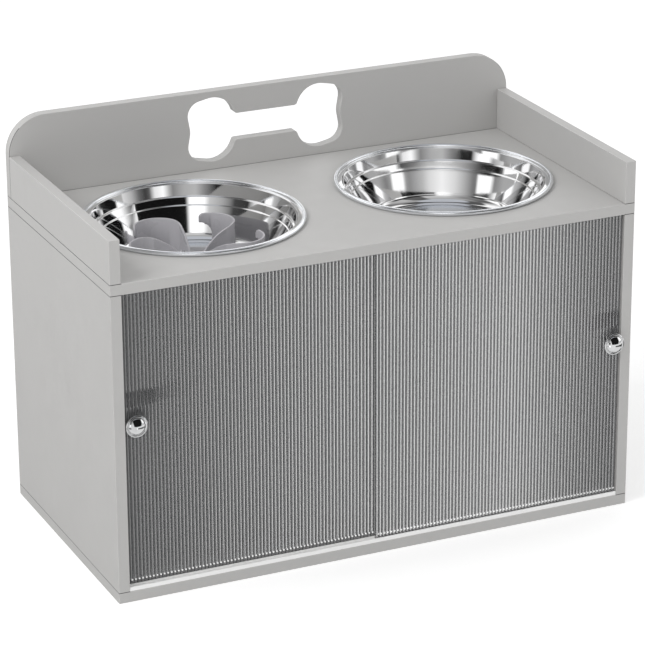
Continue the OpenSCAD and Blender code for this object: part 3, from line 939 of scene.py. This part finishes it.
# painted light: a white base colour and a weak glow on the crests just above the track
acrylic.tint(spots, SMOKED, PAINTED_SPOT_WHITE, 0.0, 1.0)
acrylic.join(acrylic.maths("MULTIPLY", spots, PAINTED_SPOT_GLOW), acrylic.sockets["Emission Strength"])
for name in ("left_door", "right_door"):
    dress(name, acrylic)
print("doors: reeded acrylic, spots", round(spot_height / MM, 1), "mm above the floor")

# %% [markdown]
# ## Door track
# A white extruded channel is screwed along the front of the bottom panel. Extruded
# plastic has faint lines along its length.

# %% Track
extrusion = Finish("white_extrusion", (0.96, 0.96, 0.955), 0.35)
lines = extrusion.noise(900.0, 2.0, (0.01, 1.0, 1.0))
extrusion.relief(lines, 0.04 * MM, 0.5)
extrusion.roughen(lines, 0.3, 0.42)
extrusion.tint(lines, (0.95, 0.95, 0.945), (0.97, 0.97, 0.965))
soften(dress("bottom_track", extrusion), 0.25 * MM)

# %% [markdown]
# ## Knobs
# A small chromed knob is turned from solid: a neck, a flat head with a rounded rim,
# a fine groove and a shallow dome. It is drawn as half a section and spun like the
# bowls, then laid on its side so that its dome looks forward.

# %% Knob section
NECK_R = 5.0 * MM
NECK_L = 9.0 * MM
NECK_FILLET = 1.0 * MM
HEAD_R = 12.0 * MM
HEAD_T = 2.2 * MM
HEAD_TOP = NECK_L + HEAD_T
DOME_R = 9.4 * MM
DOME_H = 5.0 * MM
GROOVE_D = 0.5 * MM
BORE_R = 1.95 * MM
BORE_L = 6.5 * MM


def knob_section(bm):
    """From the bore's bottom over the foot, the head and the dome to the tip."""
    half = HEAD_T / 2.0
    sphere = (DOME_R**2 + DOME_H**2) / (2.0 * DOME_H)
    spread = math.degrees(math.asin(DOME_R / sphere))
    tip = HEAD_TOP + DOME_H
    turn_in = (NECK_R + NECK_FILLET, NECK_L - NECK_FILLET)
    bore = [(0.0, BORE_L), (BORE_R, BORE_L - 0.4 * MM), (BORE_R, 0.0)]
    foot = [(NECK_R - 0.3 * MM, 0.0), (NECK_R, 0.3 * MM), (NECK_R, turn_in[1])]
    fillet = arc_points(turn_in, NECK_FILLET, 180.0, 90.0, 5)[1:]
    rim = arc_points((HEAD_R - half, NECK_L + half), half, -90.0, 90.0, 10)
    groove = [
        (DOME_R + 0.7 * MM, HEAD_TOP),
        (DOME_R + 0.45 * MM, HEAD_TOP - GROOVE_D),
        (DOME_R + 0.1 * MM, HEAD_TOP - GROOVE_D),
    ]
    dome = arc_points((0.0, tip - sphere), sphere, 90.0 - spread, 90.0, 14)
    points = bore + foot + fillet + rim + groove + dome
    section_line(bm, points)
    print("knob section:", len(points), "points")


# %% [markdown]
# Chrome is a mirror as well, a little darker and cooler than the steel.

# %% Knobs
KNOB_STEPS = 64

chrome = Finish("chrome", (0.86, 0.865, 0.87), 0.04, Metallic=1.0)
chrome.roughen(chrome.noise(400.0), 0.02, 0.07)
chrome.relief(chrome.noise(150.0, 1.0), 0.05 * MM, 0.3)
for side in ("left", "right"):
    low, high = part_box(side + "_knob")
    middle = (low + high) / 2.0
    bm = bmesh.new()
    knob_section(bm)
    lathe(bm, KNOB_STEPS)
    forward = Matrix.Rotation(math.pi / 2.0, 3, "X")
    bmesh.ops.rotate(bm, verts=bm.verts, cent=(0.0, 0.0, 0.0), matrix=forward)
    bmesh.ops.translate(bm, verts=bm.verts, vec=(middle.x, high.y, middle.z))
    body = side + "_door_body"
    new_piece(side + "_knob_turned", bm, body, chrome, (side + "_knob",))

# %% [markdown]
# ## Fixings
# The screws are zinc plated, the cam locks are cast zinc, the dowels are beech and
# the washers are clear plastic. Most of them are hidden, yet each has its finish.

# %% Fixings
ZINC_PIECES = (
    "cam_bolts",
    "cam_locks",
    "base_screws",
    "rail_screws",
    "backboard_screws",
    "track_screws",
    "left_knob_screw",
    "right_knob_screw",
)
zinc = Finish("zinc_plate", (0.62, 0.63, 0.64), 0.32, Metallic=1.0)
spangle = zinc.noise(500.0, 4.0)
zinc.roughen(spangle, 0.25, 0.45)
zinc.tint(spangle, (0.55, 0.56, 0.57), (0.68, 0.69, 0.70))
zinc.relief(spangle, 0.03 * MM, 0.5)
for name in ZINC_PIECES:
    dress(name, zinc)

beech = Finish("beech", (0.62, 0.43, 0.26), 0.6)
grain = beech.noise(300.0, 4.0, (1.0, 1.0, 0.08))
beech.tint(grain, (0.52, 0.34, 0.19), (0.68, 0.49, 0.31))
beech.relief(grain, 0.1 * MM, 0.5)
dress("wood_dowels", beech)

washer = Finish("clear_washer", (0.9, 0.9, 0.9), 0.15, Transmission_Weight=1.0, IOR=1.5)
washer.roughen(washer.noise(600.0), 0.1, 0.2)
for name in ("left_knob_washer", "right_knob_washer"):
    dress(name, washer)
